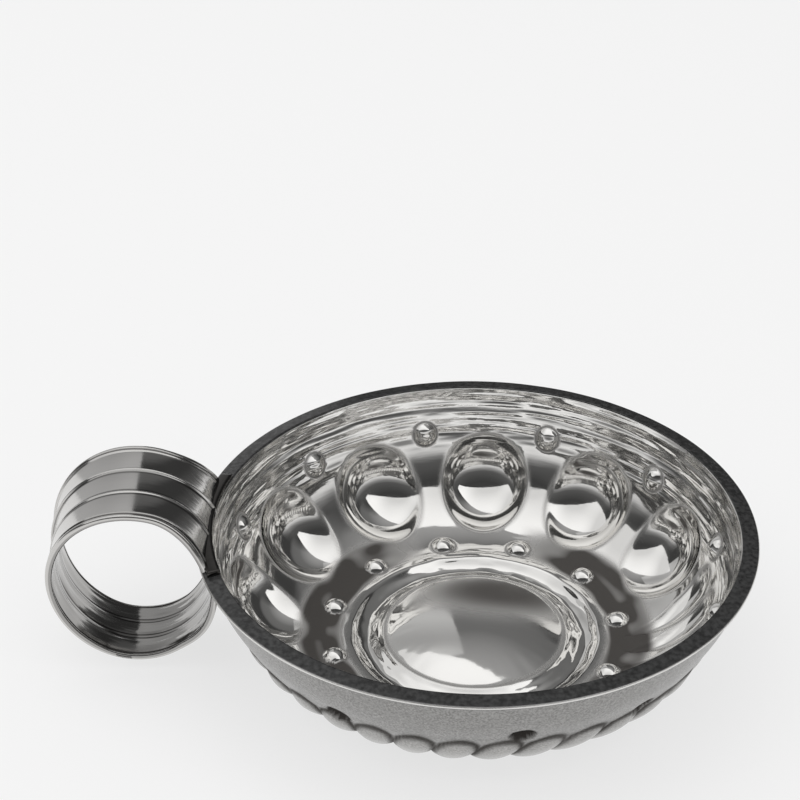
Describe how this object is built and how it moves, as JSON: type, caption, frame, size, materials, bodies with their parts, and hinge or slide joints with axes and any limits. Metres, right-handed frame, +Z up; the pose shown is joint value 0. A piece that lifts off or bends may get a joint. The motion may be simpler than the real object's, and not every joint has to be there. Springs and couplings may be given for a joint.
{
  "type": "tastevin",
  "caption": "Shallow round silver wine-tasting cup with a domed floor, pressed cupules, pearls and swirled gadroons, a flat rim wire and a fluted finger ring on one side.",
  "frame": {"origin": "on the table plane, under the middle of the whole length with the handle and of the bowl's width", "axes": "+X from the finger ring towards the bowl, +Y towards the side with the cupules, +Z up through the bowl's mouth"},
  "size_m": [0.1077, 0.0854, 0.0308],
  "materials": {
    "raised_silver": "polished silver with hammer waves inside, satin with fine scratches outside, grey tarnish in the hollows",
    "rim_silver": "polished flat silver wire with a bright rubbed outer edge",
    "strap_silver": "polished silver strap with drawn lines along the flutes and grey tarnish beside the ridges",
    "silver_solder": "dull grey silver solder with a slightly rough skin"
  },
  "bodies": {
    "root": {"bowl": "raised_silver", "rim_band": "rim_silver", "ring_handle": "strap_silver", "handle_solder": "silver_solder"}
  },
  "joints": []
}
